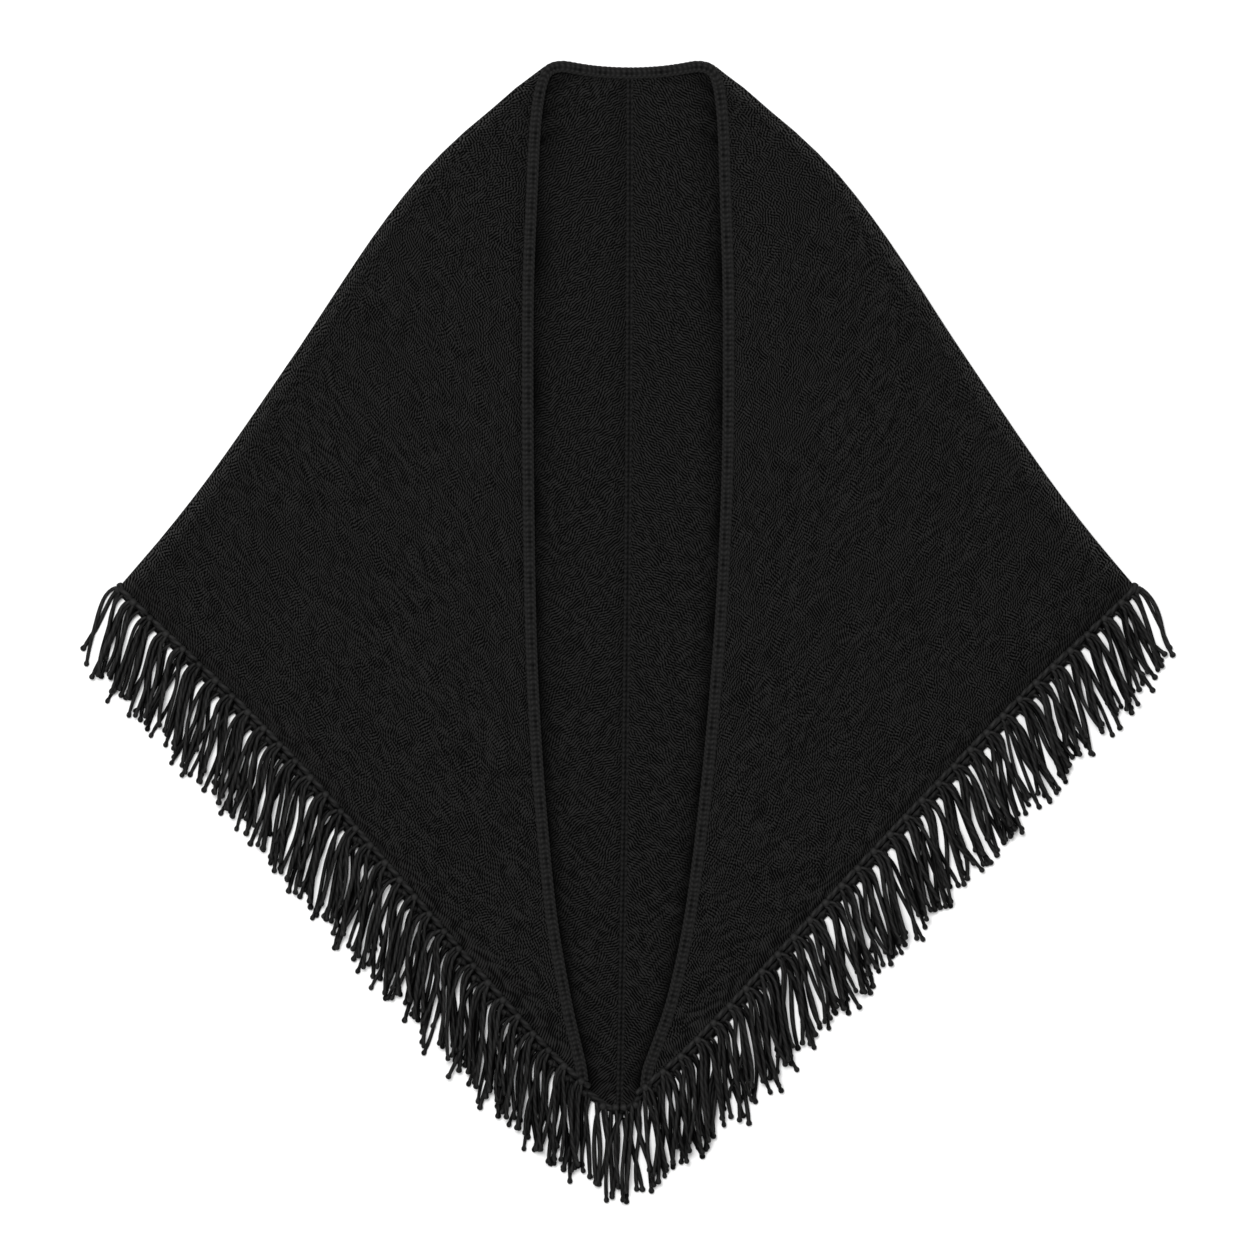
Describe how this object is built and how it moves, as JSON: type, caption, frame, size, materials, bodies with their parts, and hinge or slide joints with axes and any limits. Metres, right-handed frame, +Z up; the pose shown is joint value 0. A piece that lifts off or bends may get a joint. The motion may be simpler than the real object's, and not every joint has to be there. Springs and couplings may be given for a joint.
{
  "type": "fringed wrap",
  "caption": "Black knitted triangular wrap with a tubular edge band and a knotted fringe, lying flat with both fronts folded over the back.",
  "frame": {"origin": "on the surface the wrap lies on, under the middle of its bounding box", "axes": "+Z up from the surface, +Y from the fringed tip towards the neck, +X towards the picture's right"},
  "size_m": [0.9451, 0.9905, 0.0141],
  "materials": {
    "black_knit": "matte",
    "black_rib": "matte",
    "black_fringe_cord": "matte"
  },
  "bodies": {
    "root": {"panel_left": "black_knit", "panel_right": "black_knit", "spine": "black_rib", "band_neck": "black_rib", "band_front_left": "black_rib", "band_front_right": "black_rib", "fringe_back_left": "black_fringe_cord", "fringe_back_right": "black_fringe_cord", "fringe_front_left": "black_fringe_cord", "fringe_front_right": "black_fringe_cord", "fringe_tip": "black_fringe_cord"}
  },
  "joints": []
}
